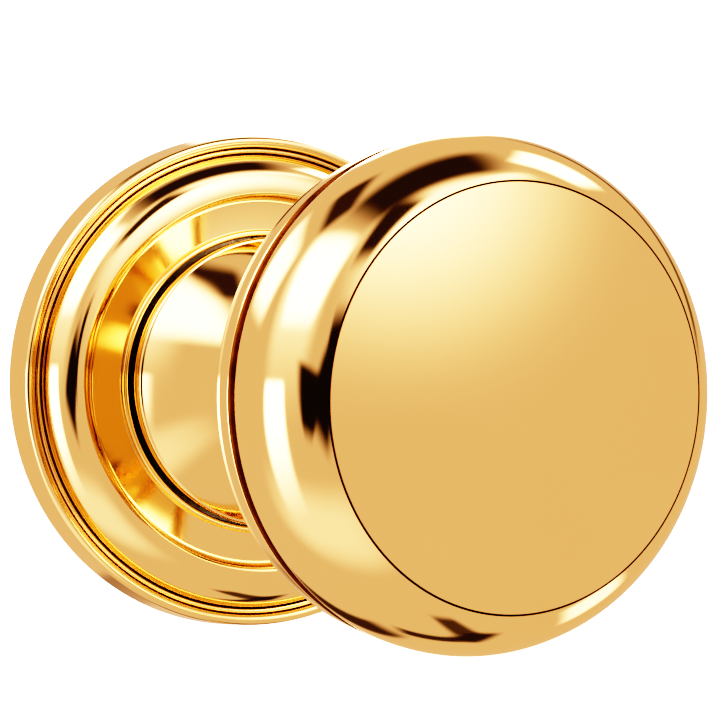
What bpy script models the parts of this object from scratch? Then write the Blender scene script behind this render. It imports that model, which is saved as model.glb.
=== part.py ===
"""Door knob and rosette: the room-side half of a passage set, on its own mounting plate.

The knob's axis is the Y axis and the knob faces -Y. The origin is on that axis, in the plane of the
door's face. Lengths below are millimetres. "out" is the distance from the door's face towards the
room (along -Y), so what sits inside the door's bore has a negative "out".
"""

import math

import bmesh
import bpy
from mathutils import Matrix, Vector

MM = 0.001
ROUND = 40
FINE_ROUND = 20

# Rosette cover
ROSETTE_R = 33.5
ROSETTE_WALL_TOP_R = 32.8
ROSETTE_LIP_OUT = 5.3
SWELL_CENTRE = (25.2, 2.0)
SWELL_R = 5.78
COVE_OUTER_R = 24.75
COVE_OUT = 4.75
BEAD_R = 19.9
BEAD_SIZE = 0.45
BEAD_OUT = 5.2
COVER_HOLE_R = 19.45
COVER_UNDERSIDE = 1.9

# Knob head
HEAD_R = 26.4
HEAD_BACK_OUT = 54.3
RIM_FRONT_OUT = 58.15
SHELL_BACK_OUT = 58.75
FLANK_CENTRE_R = 16.4
FLANK_CENTRE_OUT = 60.1
FACE_EDGE_OUT = 69.0
FACE_TOP_OUT = 71.4
SHELL_THICK = 1.4
SPIGOT_R = 24.75

# Neck
NECK_BASE_R = 19.15
NECK_BASE_BACK = 5.2
NECK_BASE_FRONT = 8.65
NECK_WAIST_R = 10.3
NECK_WAIST_OUT = 36.0
NECK_TOP_R = 14.6
NECK_TAIL_R = 8.9
NECK_BORE_R = 7.1
NECK_THREAD_R = 9.5
TRUMPET_STEPS = 8
FLARE_STEPS = 5

# Spindle and what turns with it
SPINDLE_SIDE = 8.0
SPINDLE_FRONT = 40.0
SPINDLE_BACK = -58.0
SOCKET_SIDE = 8.3
HUB_R = 6.8
GRUB_OUT = 15.0
GRUB_R = 2.3
CAM_R = 14.2
CAM_FRONT = -0.9
CAM_BACK = -3.4
CAM_BOSS_R = 8.2
SPRING_R = 11.6
SPRING_WIRE_R = 0.7
SPRING_TURNS = 2.5

# Mounting plate and what it carries
PLATE_R = 28.0
PLATE_THICK = 3.2
PLATE_HOLE_R = 11.1
BOLT_X = 19.0
BOLT_R = 2.05
BOLT_BACK = -44.0
RIVET_Z = 20.0
HOUSING_R = 16.3
HOUSING_BACK = -10.6
STOP_PIN_Z = 13.2
STOP_PIN_R = 1.3
TURN_LIMIT_DEG = 55.0

GAP = 0.3


def clear_scene():
    for obj in list(bpy.data.objects):
        bpy.data.objects.remove(obj)


def make_material(name, color, roughness, metallic=1.0):
    material = bpy.data.materials.new(name)
    material.use_nodes = True
    shader = material.node_tree.nodes["Principled BSDF"]
    shader.inputs["Base Color"].default_value = (*color, 1.0)
    shader.inputs["Roughness"].default_value = roughness
    shader.inputs["Metallic"].default_value = metallic
    return material


def add_object(name, bm, material, parent=None, at=(0.0, 0.0, 0.0)):
    """Turns bm into an object whose place is `at`, in millimetres (x, out, z)."""
    bmesh.ops.recalc_face_normals(bm, faces=bm.faces)
    mesh = bpy.data.meshes.new(name)
    bm.to_mesh(mesh)
    bm.free()
    mesh.shade_smooth()
    mesh.set_sharp_from_angle(angle=math.radians(28))
    mesh.materials.append(material)
    obj = bpy.data.objects.new(name, mesh)
    obj.location = (at[0] * MM, -at[1] * MM, at[2] * MM)
    obj.parent = parent
    bpy.context.scene.collection.objects.link(obj)
    return obj


def arc(centre, radii, start_deg, end_deg, count):
    """Points of an elliptical arc, as (radius, out); 0 degrees is away from the axis, 90 is out."""
    points = []
    for i in range(count + 1):
        angle = math.radians(start_deg + (end_deg - start_deg) * i / count)
        points.append((centre[0] + radii[0] * math.cos(angle), centre[1] + radii[1] * math.sin(angle)))
    return points


def turned_mesh(outline, steps=ROUND, closed=True, sweep_deg=360.0):
    """A bmesh of an outline of (radius, out) points turned about the Y axis."""
    bm = bmesh.new()
    verts = [bm.verts.new((r * MM, -out * MM, 0.0)) for r, out in outline]
    edges = [bm.edges.new(pair) for pair in zip(verts, verts[1:])]
    full = sweep_deg >= 360.0
    if closed:
        edges.append(bm.edges.new((verts[-1], verts[0])))
    if not full:
        first = bm.faces.new(verts)
        edges = [first]
    bmesh.ops.spin(bm, geom=edges, cent=(0, 0, 0), axis=(0, 1, 0), angle=math.radians(sweep_deg), steps=steps)
    bmesh.ops.remove_doubles(bm, verts=bm.verts, dist=0.002 * MM)
    return bm


def turned(name, outline, material, parent=None, steps=ROUND, at=(0.0, 0.0, 0.0), closed=True):
    return add_object(name, turned_mesh(outline, steps, closed), material, parent, at)


def rod_mesh(radius, back, front, steps=FINE_ROUND, chamfer=0.0):
    """A turned rod along Y from back to front, with chamfered ends."""
    inner = radius - chamfer
    outline = [(0, back), (inner, back), (radius, back + chamfer), (radius, front - chamfer), (inner, front), (0, front)]
    if not chamfer:
        outline = [(0, back), (radius, back), (radius, front), (0, front)]
    return turned_mesh(outline, steps, closed=False)


def box_mesh(low, high):
    """A box between two corners given as (x, out, z) in millimetres."""
    bm = bmesh.new()
    size = [(h - l) * MM for l, h in zip(low, high)]
    middle = [(h + l) / 2 * MM for l, h in zip(low, high)]
    place = Matrix.Translation((middle[0], -middle[1], middle[2]))
    bmesh.ops.create_cube(bm, size=1.0, matrix=place @ Matrix.Diagonal((*size, 1.0)))
    return bm


def prism_mesh(corners, back, front):
    """A straight prism along Y over a polygon of (x, z) corners."""
    bm = bmesh.new()
    face = bm.faces.new([bm.verts.new((x * MM, -back * MM, z * MM)) for x, z in corners])
    grown = bmesh.ops.extrude_face_region(bm, geom=[face])
    moved = [item for item in grown["geom"] if isinstance(item, bmesh.types.BMVert)]
    bmesh.ops.translate(bm, verts=moved, vec=Vector((0, -(front - back) * MM, 0)))
    return bm


def combine(target, bm, operation):
    """Cuts bm from target, or joins it on, with an exact Boolean modifier."""
    cutter = add_object(f"{target.name}_{operation.lower()}_{len(target.modifiers)}", bm, target.data.materials[0])
    cutter.parent = target.parent
    cutter.hide_render = True
    cutter.display_type = "WIRE"
    modifier = target.modifiers.new(cutter.name, "BOOLEAN")
    modifier.operation = operation
    modifier.solver = "EXACT"
    modifier.object = cutter


def cut(target, bm):
    combine(target, bm, "DIFFERENCE")


def join(target, bm):
    combine(target, bm, "UNION")


def moved(bm, x=0.0, out=0.0, z=0.0):
    bmesh.ops.translate(bm, verts=bm.verts, vec=Vector((x * MM, -out * MM, z * MM)))
    return bm


def pointing_down(bm):
    """Turns a shape built along out (-Y) so that it points down (-Z)."""
    bmesh.ops.rotate(bm, verts=bm.verts, cent=(0, 0, 0), matrix=Matrix.Rotation(math.radians(90), 3, "X"))
    return bm


def hexagon(across_flats):
    radius = across_flats / math.sqrt(3)
    return [(radius * math.cos(math.radians(60 * i)), radius * math.sin(math.radians(60 * i))) for i in range(6)]


def socket_cutter(back, front):
    half = SOCKET_SIDE / 2
    return box_mesh((-half, back, -half), (half, front, half))


def build_rosette_cover(brass):
    """Wall, lip, small bead, broad swelling, cove and inner bead, from the outside in."""
    lip_r = ROSETTE_WALL_TOP_R - 0.7
    outline = [(ROSETTE_R, 0.0)]
    outline += arc((lip_r, ROSETTE_LIP_OUT - 0.7), (0.7, 0.7), 0, 180, 4)
    outline += [(31.3, 4.2), (30.95, 4.45), (30.65, 4.15)]
    outline += arc(SWELL_CENTRE, (SWELL_R, SWELL_R), 21, 88, 8)
    outline += [(COVE_OUTER_R + 0.2, 7.65), (COVE_OUTER_R, 7.2)]
    outline += [(COVE_OUTER_R, COVE_OUT + 0.7), (COVE_OUTER_R - 0.6, COVE_OUT), (BEAD_R + BEAD_SIZE, COVE_OUT)]
    outline += arc((BEAD_R, BEAD_OUT), (BEAD_SIZE, BEAD_SIZE), 0, 180, 4)
    outline += [(COVER_HOLE_R, 4.0), (24.2, 3.9), (25.6, 4.4), (26.0, 6.6), (26.7, 6.6)]
    outline += [(27.6, 5.8), (28.2, 4.8), (28.38, 3.6), (28.4, COVER_UNDERSIDE)]
    outline += [(32.3, COVER_UNDERSIDE), (32.4, 0.0)]
    turned("rosette_cover", outline, brass)


def build_front_shell(brass, parent):
    flank_r = HEAD_R - FLANK_CENTRE_R
    edge_deg = math.degrees(math.asin((FACE_EDGE_OUT - FLANK_CENTRE_OUT) / flank_r))
    edge_r = FLANK_CENTRE_R + flank_r * math.cos(math.radians(edge_deg))
    rise = FACE_TOP_OUT - FACE_EDGE_OUT
    dome_r = (edge_r**2 + rise**2) / (2 * rise)
    dome_edge_deg = math.degrees(math.acos(edge_r / dome_r))
    dome_centre = (0.0, FACE_TOP_OUT - dome_r)
    outline = [(25.6, SHELL_BACK_OUT), (26.1, SHELL_BACK_OUT + 0.35), (26.35, SHELL_BACK_OUT + 1.0)]
    outline += arc((FLANK_CENTRE_R, FLANK_CENTRE_OUT), (flank_r, flank_r), 0, edge_deg, 6)
    outline += arc(dome_centre, (dome_r, dome_r), dome_edge_deg, 90, 5)[1:]
    inner_dome_r = dome_r - SHELL_THICK
    inner_edge_deg = dome_edge_deg + 0.6
    outline += arc(dome_centre, (inner_dome_r, inner_dome_r), 90, inner_edge_deg, 3)
    inner_flank_r = flank_r - SHELL_THICK
    outline += arc((FLANK_CENTRE_R, FLANK_CENTRE_OUT), (inner_flank_r, inner_flank_r), edge_deg - 4, 0, 4)
    outline += [(SPIGOT_R + GAP, SHELL_BACK_OUT)]
    turned("knob_front_shell", outline, brass, parent)


def build_back_plate(brass, parent):
    hole_r = NECK_THREAD_R + GAP
    outline = [(hole_r, 54.6), (24.2, 54.6), (24.7, 54.9), (25.1, 54.5), (25.7, HEAD_BACK_OUT), (26.2, 54.55)]
    outline += [(26.35, 55.0), (26.1, 55.4), (26.1, 55.55), (HEAD_R, 55.85), (HEAD_R, 57.9), (26.15, RIM_FRONT_OUT)]
    outline += [(SPIGOT_R, RIM_FRONT_OUT), (SPIGOT_R, 60.4), (23.6, 60.4), (23.6, 56.4), (23.2, 56.2), (hole_r, 56.2)]
    turned("knob_back_plate", outline, brass, parent)


def neck_curve():
    """The trumpet, from its wide base over the waist to the flare under the head."""
    points = []
    for i in range(TRUMPET_STEPS + 1):
        s = i / TRUMPET_STEPS
        out = NECK_BASE_FRONT + 0.1 + (NECK_WAIST_OUT - NECK_BASE_FRONT - 0.1) * s
        points.append((NECK_WAIST_R + (NECK_BASE_R - 0.45 - NECK_WAIST_R) * (1 - s) ** 2.4, out))
    for i in range(1, FLARE_STEPS + 1):
        s = i / FLARE_STEPS
        out = NECK_WAIST_OUT + (HEAD_BACK_OUT - 0.6 - NECK_WAIST_OUT) * s
        points.append((NECK_WAIST_R + (NECK_TOP_R - NECK_WAIST_R) * s**3, out))
    return points


def grub_hole_cutter():
    return moved(pointing_down(rod_mesh(GRUB_R + GAP, 3.0, 24.0)), out=GRUB_OUT)


def build_neck(brass, parent):
    outline = [(NECK_BORE_R, 0.6), (NECK_TAIL_R, 0.6), (NECK_TAIL_R, NECK_BASE_BACK), (18.9, NECK_BASE_BACK)]
    outline += [(NECK_BASE_R, NECK_BASE_BACK + 0.3), (NECK_BASE_R, NECK_BASE_FRONT - 0.3)]
    outline += [(NECK_BASE_R - 0.2, NECK_BASE_FRONT)]
    outline += neck_curve()
    outline += [(NECK_TOP_R, HEAD_BACK_OUT), (NECK_THREAD_R, HEAD_BACK_OUT), (NECK_THREAD_R, 60.2), (NECK_BORE_R, 60.2)]
    neck = turned("neck", outline, brass, parent)
    cut(neck, grub_hole_cutter())


def build_spindle_hub(steel, parent):
    outline = [(0, 1.0), (HUB_R, 1.0), (HUB_R, 44.0), (0, 44.0)]
    hub = turned("spindle_hub", outline, steel, parent, steps=32, closed=False)
    cut(hub, socket_cutter(0.0, 45.0))
    cut(hub, grub_hole_cutter())


def build_grub_screw(steel, parent):
    bm = pointing_down(rod_mesh(GRUB_R, 0.0, 7.5, chamfer=0.4))
    screw = add_object("grub_screw", bm, steel, parent, at=(0.0, GRUB_OUT, -4.4))
    key = moved(pointing_down(prism_mesh(hexagon(2.5), 5.2, 8.5)), out=GRUB_OUT, z=-4.4)
    cut(screw, key)


def build_spindle(steel, parent):
    half = SPINDLE_SIDE / 2
    spindle = add_object(
        "spindle", box_mesh((-half, SPINDLE_BACK, -half), (half, SPINDLE_FRONT, half)), steel, parent
    )
    bevel = spindle.modifiers.new("chamfer", "BEVEL")
    bevel.width = 0.5 * MM
    bevel.segments = 1


def build_lock_washer(steel, parent):
    turned("lock_washer", [(9.8, 56.5), (15.5, 56.5), (15.5, 57.4), (9.8, 57.4)], steel, parent)


def build_lock_nut(steel, parent):
    nut = add_object("lock_nut", prism_mesh(hexagon(24.0), 57.7, 60.0), steel, parent)
    cut(nut, rod_mesh(NECK_THREAD_R + GAP, 57.0, 61.0, steps=32))


def build_return_cam(steel, parent):
    outline = [(0, CAM_FRONT), (CAM_R, CAM_FRONT), (CAM_R, CAM_BACK), (CAM_BOSS_R, CAM_BACK), (CAM_BOSS_R, -8.4), (0, -8.4)]
    cam = turned("return_cam", outline, steel, parent, steps=40, closed=False)
    cut(cam, socket_cutter(-9.5, 0.5))
    cut(cam, moved(rod_mesh(SPRING_WIRE_R + GAP, CAM_BACK - 1, CAM_FRONT + 1), z=-SPRING_R))
    half_deg = TURN_LIMIT_DEG + math.degrees(math.asin((STOP_PIN_R + 0.2) / STOP_PIN_Z))
    sector = [(10.5, 90 - half_deg), (16.0, 90 - half_deg)]
    steps = 14
    sector += [(16.0, 90 - half_deg + 2 * half_deg * i / steps) for i in range(1, steps + 1)]
    sector += [(10.5, 90 + half_deg - 2 * half_deg * i / steps) for i in range(steps)]
    corners = [(r * math.cos(math.radians(a)), r * math.sin(math.radians(a))) for r, a in sector]
    cut(cam, prism_mesh(corners, CAM_BACK - 1, CAM_FRONT + 1))


def build_mounting_plate(steel):
    groove_r = PLATE_R - 0.9
    outline = [(PLATE_HOLE_R, 0.0), (PLATE_R, 0.0), (PLATE_R, 1.8), (groove_r, 1.8), (groove_r, 2.75), (PLATE_R, 2.75)]
    outline += [(PLATE_R, 2.95), (PLATE_R - 0.25, PLATE_THICK), (PLATE_HOLE_R, PLATE_THICK)]
    plate = turned("mounting_plate", outline, steel)
    for side in (-1, 1):
        seat = [(0, -1), (BOLT_R + GAP, -1), (BOLT_R + GAP, 1.1), (4.5, PLATE_THICK + 0.1), (4.5, 4.0), (0, 4.0)]
        cut(plate, moved(turned_mesh(seat, FINE_ROUND, closed=False), x=side * BOLT_X))
        cut(plate, moved(rod_mesh(1.5 + GAP, -1, 5), z=side * RIVET_Z))
    cut(plate, moved(rod_mesh(STOP_PIN_R + GAP, -1, 5), z=STOP_PIN_Z))


def build_bearing_bush(nylon):
    bore = NECK_TAIL_R + 0.18
    outline = [(bore, 0.15), (10.75, 0.15), (10.75, 3.45), (13.2, 3.45), (13.2, 4.15), (bore, 4.15)]
    turned("bearing_bush", outline, nylon)


def build_wave_washer(steel):
    """A thin spring washer with three waves, which takes up the knob's end play."""
    bm = turned_mesh([(9.4, 4.55), (13.0, 4.55), (13.0, 4.85), (9.4, 4.85)])
    for vert in bm.verts:
        vert.co.y += 0.1 * MM * math.sin(3 * math.atan2(vert.co.z, vert.co.x))
    add_object("wave_washer", bm, steel)


def build_spring_housing(steel):
    wall = 1.2
    outline = [(6.5, HOUSING_BACK), (HOUSING_R - 0.8, HOUSING_BACK), (HOUSING_R, HOUSING_BACK + 0.8)]
    outline += [(HOUSING_R, -GAP), (HOUSING_R - wall, -GAP), (HOUSING_R - wall, HOUSING_BACK + wall)]
    outline += [(6.5, HOUSING_BACK + wall)]
    housing = turned("spring_housing", outline, steel)
    for side in (-1, 1):
        low, high = sorted((side * (HOUSING_R - 0.6), side * 24.0))
        join(housing, box_mesh((-4.5, -1.6, low), (4.5, -GAP, high)))
        cut(housing, moved(rod_mesh(1.5 + GAP, -3, 1), z=side * RIVET_Z))
    cut(housing, moved(rod_mesh(SPRING_WIRE_R + GAP, -12, -8), z=SPRING_R))


def build_rivet(name, z, steel):
    outline = [(0, -2.9), (1.4, -2.8), (2.4, -2.3), (2.7, -1.9), (1.5, -1.9), (1.5, 3.0), (0, 3.0)]
    turned(name, outline, steel, at=(0.0, 0.0, z), steps=20, closed=False)


def spring_path():
    """Rear leg, coil and front leg of the torsion spring, as (x, out, z) points.

    The rear leg stands at the top, in the housing's hole. The coil makes two and a half turns, so
    the front leg stands at the bottom, in the cam's hole.
    """
    coil_back, coil_front, bend = -8.1, -4.9, 0.7
    points = [(0.0, HOUSING_BACK + 0.2, SPRING_R), (0.0, coil_back - bend - 0.1, SPRING_R)]
    count = int(SPRING_TURNS * 24)
    for i in range(1, count):
        angle = math.radians(90) - 2 * math.pi * SPRING_TURNS * i / count
        out = coil_back + (coil_front - coil_back) * i / count
        points.append((SPRING_R * math.cos(angle), out, SPRING_R * math.sin(angle)))
    points += [(0.0, coil_front + bend + 0.1, -SPRING_R), (0.0, CAM_FRONT - 0.4, -SPRING_R)]
    return points


def build_return_spring(spring_steel):
    curve = bpy.data.curves.new("return_spring", "CURVE")
    curve.dimensions = "3D"
    curve.bevel_depth = SPRING_WIRE_R * MM
    curve.bevel_resolution = 1
    curve.use_fill_caps = True
    spline = curve.splines.new("POLY")
    points = spring_path()
    spline.points.add(len(points) - 1)
    for point, (x, out, z) in zip(spline.points, points):
        point.co = (x * MM, -out * MM, z * MM, 1.0)
    curve.materials.append(spring_steel)
    bpy.context.scene.collection.objects.link(bpy.data.objects.new("return_spring", curve))


def build_stop_pin(steel):
    add_object("stop_pin", rod_mesh(STOP_PIN_R, -3.8, 3.0, steps=16, chamfer=0.2), steel, at=(0, 0, STOP_PIN_Z))


def build_cover_snap_ring(spring_steel):
    """A split ring in the plate's edge groove, which grips the inside of the cover."""
    outline = [(PLATE_R - 0.7, 1.95), (PLATE_R + 0.2, 1.95), (PLATE_R + 0.2, 2.6), (PLATE_R - 0.7, 2.6)]
    bm = turned_mesh(outline, steps=46, sweep_deg=345.0)
    add_object("cover_snap_ring", bm, spring_steel)


def build_through_bolt(name, side, steel):
    outline = [(0, BOLT_BACK), (BOLT_R - 0.4, BOLT_BACK), (BOLT_R, BOLT_BACK + 0.6), (BOLT_R, 1.0)]
    outline += [(4.0, 2.95), (4.0, 3.1), (0, 3.1)]
    bolt = turned(name, outline, steel, at=(side * BOLT_X, 0.0, 0.0), steps=FINE_ROUND, closed=False)
    for width, height in ((3.6, 0.8), (0.8, 3.6)):
        slot = box_mesh((-width / 2, 1.7, -height / 2), (width / 2, 4.0, height / 2))
        cut(bolt, moved(slot, x=side * BOLT_X))


def build_all():
    clear_scene()
    brass = make_material("polished_brass", (0.86, 0.62, 0.26), 0.08)
    zinc_steel = make_material("zinc_plated_steel", (0.62, 0.63, 0.64), 0.32)
    dark_steel = make_material("spring_steel", (0.30, 0.30, 0.31), 0.35)
    nylon = make_material("nylon", (0.85, 0.84, 0.80), 0.55, metallic=0.0)

    knob_axis = bpy.data.objects.new("knob_axis", None)
    bpy.context.scene.collection.objects.link(knob_axis)

    build_front_shell(brass, knob_axis)
    build_back_plate(brass, knob_axis)
    build_neck(brass, knob_axis)
    build_spindle_hub(zinc_steel, knob_axis)
    build_grub_screw(dark_steel, knob_axis)
    build_spindle(zinc_steel, knob_axis)
    build_lock_washer(zinc_steel, knob_axis)
    build_lock_nut(zinc_steel, knob_axis)
    build_return_cam(zinc_steel, knob_axis)

    build_rosette_cover(brass)
    build_mounting_plate(zinc_steel)
    build_bearing_bush(nylon)
    build_wave_washer(dark_steel)
    build_spring_housing(zinc_steel)
    build_rivet("rivet_top", RIVET_Z, zinc_steel)
    build_rivet("rivet_bottom", -RIVET_Z, zinc_steel)
    build_return_spring(dark_steel)
    build_stop_pin(zinc_steel)
    build_cover_snap_ring(dark_steel)
    build_through_bolt("through_bolt_left", -1, zinc_steel)
    build_through_bolt("through_bolt_right", 1, zinc_steel)


build_all()
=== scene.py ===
"""The looks of the polished brass door knob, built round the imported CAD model.

Same frame as the CAD: the knob's axis is the Y axis, the knob faces -Y, and the door's face is the
plane y = 0. Lengths are millimetres until a mesh is made. An outline is a list of (radius, out)
corners, where "out" is the distance from the door's face towards the room, along -Y. A third number
in a corner rounds it to that radius.
"""

import math

import bmesh
import bpy
from mathutils import Matrix, Vector


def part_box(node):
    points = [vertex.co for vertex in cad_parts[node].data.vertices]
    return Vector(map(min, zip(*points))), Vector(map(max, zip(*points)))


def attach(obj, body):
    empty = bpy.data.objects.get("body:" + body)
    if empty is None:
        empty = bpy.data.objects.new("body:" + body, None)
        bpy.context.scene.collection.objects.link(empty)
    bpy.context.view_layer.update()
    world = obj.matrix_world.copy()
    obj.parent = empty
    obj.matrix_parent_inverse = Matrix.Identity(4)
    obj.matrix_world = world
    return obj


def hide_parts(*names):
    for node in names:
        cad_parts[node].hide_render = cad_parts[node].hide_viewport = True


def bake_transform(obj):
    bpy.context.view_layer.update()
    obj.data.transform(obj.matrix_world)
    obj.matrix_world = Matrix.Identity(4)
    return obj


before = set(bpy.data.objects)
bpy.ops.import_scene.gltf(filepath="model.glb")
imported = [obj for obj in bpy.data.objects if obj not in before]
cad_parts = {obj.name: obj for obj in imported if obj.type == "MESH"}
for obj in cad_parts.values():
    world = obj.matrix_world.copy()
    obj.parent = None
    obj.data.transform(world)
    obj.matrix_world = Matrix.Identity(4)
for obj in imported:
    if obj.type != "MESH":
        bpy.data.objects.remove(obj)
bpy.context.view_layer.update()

MM = 0.001
ROUND = 160        # steps round a large turned piece
FINE_ROUND = 64    # round a small one
PIN_ROUND = 40     # round a pin or rivet
HOLE_ROUND = 32    # round a small hole
THREAD_ROUND = 28  # round a threaded rod
SMOOTH_DEG = 32.0  # edges sharper than this stay crisp
GAP = 0.3          # clearance of a hole or bore


def measure(node):
    """A CAD node's half width along x, its back and its front, in millimetres (back and front as "out")."""
    low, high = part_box(node)
    return (high[0] - low[0]) / 2 / MM, -high[1] / MM, -low[1] / MM


ROSETTE_R = measure("rosette_cover")[0]
HEAD_R, SHELL_BACK, FACE_TOP = measure("knob_front_shell")
NECK_BASE_R, NECK_BACK, NECK_FRONT = measure("neck")
HEAD_BACK = measure("knob_back_plate")[1]
PLATE_R, _, PLATE_FRONT = measure("mounting_plate")
HOUSING_R, HOUSING_BACK, _ = measure("spring_housing")
SPINDLE_HALF, SPINDLE_BACK, SPINDLE_FRONT = measure("spindle")
HUB_R, HUB_BACK, HUB_FRONT = measure("spindle_hub")
CAM_R, CAM_BACK, CAM_FRONT = measure("return_cam")
BOLT_HEAD_R, BOLT_BACK, BOLT_FRONT = measure("through_bolt_right")
BOLT_X = (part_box("through_bolt_right")[0][0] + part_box("through_bolt_right")[1][0]) / 2 / MM
RIVET_Z = (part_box("rivet_top")[0][2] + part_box("rivet_top")[1][2]) / 2 / MM
STOP_PIN_R, STOP_PIN_BACK, STOP_PIN_FRONT = measure("stop_pin")
STOP_PIN_Z = (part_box("stop_pin")[0][2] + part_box("stop_pin")[1][2]) / 2 / MM
NUT_BACK, NUT_FRONT = measure("lock_nut")[1:]
GRUB_R = measure("grub_screw")[0]
GRUB_OUT = (measure("grub_screw")[1] + measure("grub_screw")[2]) / 2

WAIST_R = 10.3
WAIST_OUT = 36.0
BORE_R = 7.1
TAIL_R = 8.9
NECK_THREAD_R = 9.5
NECK_PITCH = 1.0
GRUB_LENGTH = 7.5
GRUB_PITCH = 0.8
SOCKET_HALF = 4.15
RIVET_R = 1.5
SPRING_R = 11.6
WIRE_R = 0.7
SPRING_TURNS = 2.5
BOLT_R = 2.05
BOLT_PITCH = 0.794
TURN_LIMIT_DEG = 55.0


# ---------------------------------------------------------------- outlines

def arc(centre, radii, start_deg, end_deg, count):
    """Points of an elliptical arc, as (radius, out); 0 degrees is away from the axis, 90 is out."""
    points = []
    for i in range(count + 1):
        angle = math.radians(start_deg + (end_deg - start_deg) * i / count)
        points.append((centre[0] + radii[0] * math.cos(angle), centre[1] + radii[1] * math.sin(angle)))
    return points


def rounded(corners, closed=True, steps=5):
    """Replaces each corner that has a third number by a fillet of that radius."""
    result = []
    count = len(corners)
    for i, corner in enumerate(corners):
        if len(corner) == 2 or (not closed and i in (0, count - 1)):
            result.append(tuple(corner[:2]))
            continue
        here = Vector(corner[:2])
        before = Vector(corners[i - 1][:2]) - here
        after = Vector(corners[(i + 1) % count][:2]) - here
        half = before.angle(after) / 2
        back = min(corner[2] / math.tan(half), 0.48 * before.length, 0.48 * after.length)
        start, end = here + before.normalized() * back, here + after.normalized() * back
        for step in range(steps + 1):
            t = step / steps
            point = start * (1 - t) ** 2 + here * 2 * t * (1 - t) + end * t**2
            result.append((point.x, point.y))
    return result


def open_rounded(corners, steps=5):
    return rounded(corners, closed=False, steps=steps)


def evenly(first, last, rows):
    """Heights from first to last, for the rows of a thread."""
    return [first + (last - first) * i / rows for i in range(rows + 1)]


# ---------------------------------------------------------------- meshes

def turned_mesh(outline, steps=ROUND, closed=True, sweep_deg=360.0):
    """A bmesh of an outline turned about the Y axis."""
    bm = bmesh.new()
    verts = [bm.verts.new((r * MM, -out * MM, 0.0)) for r, out in outline]
    edges = [bm.edges.new(pair) for pair in zip(verts, verts[1:])]
    if closed:
        edges.append(bm.edges.new((verts[-1], verts[0])))
    if sweep_deg < 360.0:
        edges = [bm.faces.new(verts)]
    angle = math.radians(sweep_deg)
    bmesh.ops.spin(bm, geom=edges, cent=(0, 0, 0), axis=(0, 1, 0), angle=angle, steps=steps)
    bmesh.ops.remove_doubles(bm, verts=bm.verts, dist=0.0005 * MM)
    bmesh.ops.recalc_face_normals(bm, faces=bm.faces)
    return bm


def rod_mesh(radius, back, front, steps=FINE_ROUND, chamfer=0.0):
    """A rod along Y, with rounded-off ends if it has a chamfer."""
    inner = radius - chamfer
    corners = [(0, back), (inner, back, chamfer / 2), (radius, back + chamfer, chamfer / 2)]
    corners += [(radius, front - chamfer, chamfer / 2), (inner, front, chamfer / 2), (0, front)]
    if not chamfer:
        corners = [(0, back), (radius, back), (radius, front), (0, front)]
    return turned_mesh(open_rounded(corners, steps=3), steps, closed=False)


def prism_mesh(corners, back, front, bevel=0.0):
    """A straight prism along Y over a polygon of (x, z) corners, with its sharp edges bevelled."""
    bm = bmesh.new()
    face = bm.faces.new([bm.verts.new((x * MM, -back * MM, z * MM)) for x, z in corners])
    grown = bmesh.ops.extrude_face_region(bm, geom=[face])
    lifted = [item for item in grown["geom"] if isinstance(item, bmesh.types.BMVert)]
    bmesh.ops.translate(bm, verts=lifted, vec=Vector((0, -(front - back) * MM, 0)))
    bmesh.ops.recalc_face_normals(bm, faces=bm.faces)
    if bevel:
        sharp = [edge for edge in bm.edges if edge.calc_face_angle(0.0) > math.radians(30)]
        bmesh.ops.bevel(
            bm, geom=sharp, offset=bevel * MM, segments=3, profile=0.5, affect="EDGES", clamp_overlap=True)
    return bm


def box_mesh(half_x, half_z, back, front):
    corners = [(-half_x, -half_z), (half_x, -half_z), (half_x, half_z), (-half_x, half_z)]
    return prism_mesh(corners, back, front)


def hexagon(across_flats):
    radius = across_flats / math.sqrt(3)
    angles = [math.radians(60 * i) for i in range(6)]
    return [(radius * math.cos(angle), radius * math.sin(angle)) for angle in angles]


def moved(bm, x=0.0, out=0.0, z=0.0):
    bmesh.ops.translate(bm, verts=bm.verts, vec=Vector((x * MM, -out * MM, z * MM)))
    return bm


def pointing_down(bm):
    """Turns a shape built along out (-Y) so that it points down (-Z)."""
    bmesh.ops.rotate(bm, verts=bm.verts, cent=(0, 0, 0), matrix=Matrix.Rotation(math.radians(90), 3, "X"))
    return bm


def threaded(bm, radius, depth, pitch, back, front):
    """Presses a helical thread into the wall of a rod along Y; the thread fades out at both ends."""
    skin, flank_slope = 0.02, 1.15
    for vert in bm.verts:
        reach = math.hypot(vert.co.x, vert.co.z) / MM
        out = -vert.co.y / MM
        if reach < radius - skin or not back <= out <= front:
            continue
        turn = math.atan2(vert.co.z, vert.co.x) / (2 * math.pi)
        phase = (out / pitch - turn) % 1.0
        ridge = abs(2.0 * phase - 1.0)
        fade = min(1.0, (out - back) / pitch, (front - out) / pitch)
        shrink = (reach - depth * fade * min(1.0, flank_slope * ridge)) / reach
        vert.co.x *= shrink
        vert.co.z *= shrink
    return bm


def object_from(name, bm, materials=()):
    """Moves a bmesh into a new object in the scene."""
    mesh = bpy.data.meshes.new(name)
    bm.to_mesh(mesh)
    bm.free()
    for material in materials:
        mesh.materials.append(material)
    obj = bpy.data.objects.new(name, mesh)
    bpy.context.scene.collection.objects.link(obj)
    return obj


def temporary_object(bm):
    bmesh.ops.recalc_face_normals(bm, faces=bm.faces)
    return object_from("temporary", bm)


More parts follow.
